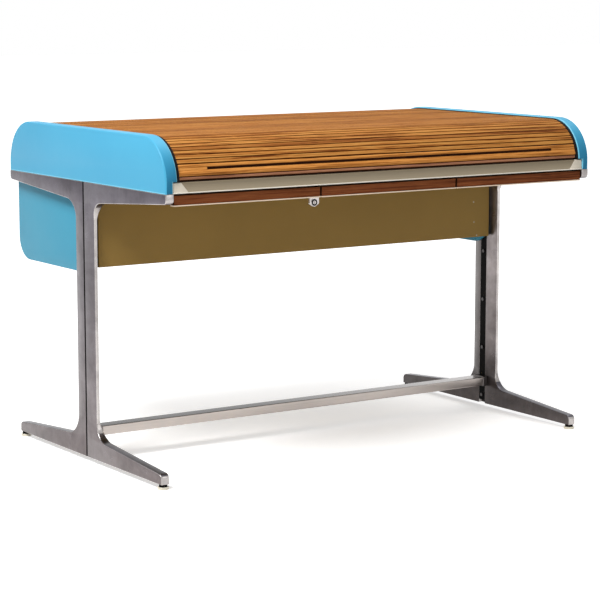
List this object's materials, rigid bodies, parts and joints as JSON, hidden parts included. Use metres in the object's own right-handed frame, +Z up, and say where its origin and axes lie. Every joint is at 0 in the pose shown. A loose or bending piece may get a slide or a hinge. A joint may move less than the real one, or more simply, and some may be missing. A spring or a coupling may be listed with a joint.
{
  "type": "tambour desk",
  "caption": "Roll-top desk on cast legs, with a slatted tambour over the work surface, shallow drawers with a lock below it, a hanging bin behind and a foot rail.",
  "frame": {"origin": "on the floor under the middle of the desk's bounding box", "axes": "+X along the desk to the seated user's right, -Y towards the user, +Z up"},
  "size_m": [1.31, 0.832, 0.851],
  "materials": {
    "blue_plastic": "satin blue",
    "cast_aluminium": "satin polished",
    "rail_aluminium": "brushed",
    "black_steel": "black",
    "bolt_steel": "dark steel",
    "ivory_plastic": "ivory",
    "surface_laminate": "white laminate on board",
    "edge_moulding": "warm grey",
    "edge_cap": "light warm grey",
    "slat_wood": "oiled",
    "black_plastic": "black",
    "dark_wood": "oiled walnut",
    "cream_plastic": "cream",
    "lock_steel": "satin",
    "olive_paint": "olive brown"
  },
  "bodies": {
    "frame": {"back_cover": "olive_paint", "bin_end_panel_left": "blue_plastic", "bin_end_panel_right": "blue_plastic", "bin_front_panel": "olive_paint", "bin_trough": "olive_paint", "drawer_runner_1": "black_steel", "drawer_runner_2": "black_steel", "edge_rail_cap_left": "edge_cap", "edge_rail_cap_right": "edge_cap", "end_panel_left": "blue_plastic", "end_panel_right": "blue_plastic", "foot_rail": "rail_aluminium", "foot_rail_socket_left": "rail_aluminium", "foot_rail_socket_right": "rail_aluminium", "front_edge_rail": "edge_moulding", "leg_bolts": "bolt_steel", "leg_casting_front_left": "cast_aluminium", "leg_casting_front_right": "cast_aluminium", "leg_casting_rear_left": "cast_aluminium", "leg_casting_rear_right": "cast_aluminium", "leg_spine_left": "black_steel", "leg_spine_right": "black_steel", "side_rail_left": "black_steel", "side_rail_right": "black_steel", "tambour_track_left": "black_plastic", "tambour_track_right": "black_plastic", "work_surface": "surface_laminate"},
    "glide_front_left": {"glide_pad_front_left": "ivory_plastic", "glide_stem_front_left": "black_steel"},
    "glide_front_right": {"glide_pad_front_right": "ivory_plastic", "glide_stem_front_right": "black_steel"},
    "glide_rear_left": {"glide_pad_rear_left": "ivory_plastic", "glide_stem_rear_left": "black_steel"},
    "glide_rear_right": {"glide_pad_rear_right": "ivory_plastic", "glide_stem_rear_right": "black_steel"},
    "drawer_1": {"drawer_front_1": "dark_wood", "drawer_tray_1": "cream_plastic", "lock_housing": "lock_steel"},
    "drawer_2": {"drawer_front_2": "dark_wood", "drawer_tray_2": "cream_plastic"},
    "drawer_3": {"drawer_front_3": "dark_wood", "drawer_tray_3": "cream_plastic"},
    "lock_plug": {"lock_plug": "lock_steel"},
    "tambour_lead_rail": {"tambour_lead_rail": "slat_wood"},
    "tambour_strip_front_1": {"tambour_strip_front_1": "slat_wood"},
    "tambour_strip_front_2": {"tambour_strip_front_2": "slat_wood"},
    "tambour_strip_front_3": {"tambour_strip_front_3": "slat_wood"},
    "tambour_strip_front_4": {"tambour_strip_front_4": "slat_wood"},
    "tambour_strip_front_5": {"tambour_strip_front_5": "slat_wood"},
    "tambour_strip_top": {"tambour_strip_top": "slat_wood"},
    "tambour_strip_rear_1": {"tambour_strip_rear_1": "slat_wood"},
    "tambour_strip_rear_2": {"tambour_strip_rear_2": "slat_wood"},
    "tambour_strip_rear_3": {"tambour_strip_rear_3": "slat_wood"},
    "tambour_strip_rear_4": {"tambour_strip_rear_4": "slat_wood"},
    "tambour_strip_rear_5": {"tambour_strip_rear_5": "slat_wood"},
    "tambour_strip_back_1": {"tambour_strip_back_1": "slat_wood"},
    "tambour_strip_back_2": {"tambour_strip_back_2": "slat_wood"},
    "tambour_strip_back_3": {"tambour_strip_back_3": "slat_wood"},
    "tambour_strip_back_4": {"tambour_strip_back_4": "slat_wood"},
    "tambour_strip_back_5": {"tambour_strip_back_5": "slat_wood"}
  },
  "joints": [
    {"name": "tambour_slide", "type": "slide", "parent": "frame", "child": "tambour_strip_top", "axis": [0, 1, 0], "range_m": [0, 0.1696]},
    {"name": "lead_rail_turn", "type": "hinge", "parent": "frame", "child": "tambour_lead_rail", "pos_m": [0, -0.29188, 0.72381], "axis": [-1, 0, 0], "range_deg": [0, 77.64]},
    {"name": "front_1_turn", "type": "hinge", "parent": "frame", "child": "tambour_strip_front_1", "pos_m": [0, -0.27371, 0.68419], "axis": [-1, 0, 0], "range_deg": [0, 58.36]},
    {"name": "front_2_turn", "type": "hinge", "parent": "frame", "child": "tambour_strip_front_2", "pos_m": [0, -0.26159, 0.63661], "axis": [-1, 0, 0], "range_deg": [0, 45.5]},
    {"name": "front_3_turn", "type": "hinge", "parent": "frame", "child": "tambour_strip_front_3", "pos_m": [0, -0.24947, 0.54973], "axis": [-1, 0, 0], "range_deg": [0, 32.64]},
    {"name": "front_4_turn", "type": "hinge", "parent": "frame", "child": "tambour_strip_front_4", "pos_m": [0, -0.23735, 0.34675], "axis": [-1, 0, 0], "range_deg": [0, 19.79]},
    {"name": "front_5_turn", "type": "hinge", "parent": "frame", "child": "tambour_strip_front_5", "pos_m": [0, -0.22524, -0.66353], "axis": [-1, 0, 0], "range_deg": [0, 6.93]},
    {"name": "rear_1_turn", "type": "hinge", "parent": "frame", "child": "tambour_strip_rear_1", "pos_m": [0, 0.21403, -0.15887], "axis": [-1, 0, 0], "range_deg": [0, 10.14]},
    {"name": "rear_2_turn", "type": "hinge", "parent": "frame", "child": "tambour_strip_rear_2", "pos_m": [0, 0.2322, 0.51586], "axis": [-1, 0, 0], "range_deg": [0, 29.43]},
    {"name": "rear_3_turn", "type": "hinge", "parent": "frame", "child": "tambour_strip_rear_3", "pos_m": [0, 0.25038, 0.65099], "axis": [-1, 0, 0], "range_deg": [0, 48.71]},
    {"name": "rear_4_turn", "type": "hinge", "parent": "frame", "child": "tambour_strip_rear_4", "pos_m": [0, 0.26855, 0.70726], "axis": [-1, 0, 0], "range_deg": [0, 68]},
    {"name": "rear_5_turn", "type": "hinge", "parent": "frame", "child": "tambour_strip_rear_5", "pos_m": [0, 0.2837, 0.73222], "axis": [-1, 0, 0], "range_deg": [0, 84.07]},
    {"name": "back_1_turn", "type": "hinge", "parent": "frame", "child": "tambour_strip_back_1", "pos_m": [0, 0.279, 0.72991], "axis": [-1, 0, 0], "range_deg": [0, 80.86]},
    {"name": "back_2_turn", "type": "hinge", "parent": "frame", "child": "tambour_strip_back_2", "pos_m": [0, 0.24354, 0.71174], "axis": [-1, 0, 0], "range_deg": [0, 61.57]},
    {"name": "back_3_turn", "type": "hinge", "parent": "frame", "child": "tambour_strip_back_3", "pos_m": [0, 0.17072, 0.69356], "axis": [-1, 0, 0], "range_deg": [0, 42.29]},
    {"name": "back_4_turn", "type": "hinge", "parent": "frame", "child": "tambour_strip_back_4", "pos_m": [0, -0.03007, 0.67538], "axis": [-1, 0, 0], "range_deg": [0, 23]},
    {"name": "back_5_turn", "type": "hinge", "parent": "frame", "child": "tambour_strip_back_5", "pos_m": [0, -1.11277, 0.66024], "axis": [-1, 0, 0], "range_deg": [0, 6.93]},
    {"name": "drawer_1_slide", "type": "slide", "parent": "frame", "child": "drawer_1", "axis": [0, -1, 0], "range_m": [0, 0.28]},
    {"name": "drawer_2_slide", "type": "slide", "parent": "frame", "child": "drawer_2", "axis": [0, -1, 0], "range_m": [0, 0.28]},
    {"name": "drawer_3_slide", "type": "slide", "parent": "frame", "child": "drawer_3", "axis": [0, -1, 0], "range_m": [0, 0.28]},
    {"name": "lock_turn", "type": "hinge", "parent": "drawer_1", "child": "lock_plug", "pos_m": [-0.228, -0.41, 0.675], "axis": [0, 1, 0], "range_deg": [0, 90]},
    {"name": "glide_front_left_turn", "type": "hinge", "parent": "frame", "child": "glide_front_left", "pos_m": [-0.641, -0.371, 0.012], "axis": [0, 0, 1], "continuous": true},
    {"name": "glide_front_right_turn", "type": "hinge", "parent": "frame", "child": "glide_front_right", "pos_m": [0.641, -0.371, 0.012], "axis": [0, 0, 1], "continuous": true},
    {"name": "glide_rear_left_turn", "type": "hinge", "parent": "frame", "child": "glide_rear_left", "pos_m": [-0.641, 0.371, 0.012], "axis": [0, 0, 1], "continuous": true},
    {"name": "glide_rear_right_turn", "type": "hinge", "parent": "frame", "child": "glide_rear_right", "pos_m": [0.641, 0.371, 0.012], "axis": [0, 0, 1], "continuous": true}
  ],
  "couplings": [
    {"joint": "lead_rail_turn", "follows": "tambour_slide", "rad_per_m": 7.9365},
    {"joint": "front_1_turn", "follows": "tambour_slide", "rad_per_m": 5.9524},
    {"joint": "front_2_turn", "follows": "tambour_slide", "rad_per_m": 4.6296},
    {"joint": "front_3_turn", "follows": "tambour_slide", "rad_per_m": 3.3069},
    {"joint": "front_4_turn", "follows": "tambour_slide", "rad_per_m": 1.9841},
    {"joint": "front_5_turn", "follows": "tambour_slide", "rad_per_m": 0.66138},
    {"joint": "rear_1_turn", "follows": "tambour_slide", "rad_per_m": 0.99206},
    {"joint": "rear_2_turn", "follows": "tambour_slide", "rad_per_m": 2.9762},
    {"joint": "rear_3_turn", "follows": "tambour_slide", "rad_per_m": 4.9603},
    {"joint": "rear_4_turn", "follows": "tambour_slide", "rad_per_m": 6.9444},
    {"joint": "rear_5_turn", "follows": "tambour_slide", "rad_per_m": 8.5979},
    {"joint": "back_1_turn", "follows": "tambour_slide", "rad_per_m": 8.2672},
    {"joint": "back_2_turn", "follows": "tambour_slide", "rad_per_m": 6.2831},
    {"joint": "back_3_turn", "follows": "tambour_slide", "rad_per_m": 4.2989},
    {"joint": "back_4_turn", "follows": "tambour_slide", "rad_per_m": 2.3148},
    {"joint": "back_5_turn", "follows": "tambour_slide", "rad_per_m": 0.66138}
  ]
}
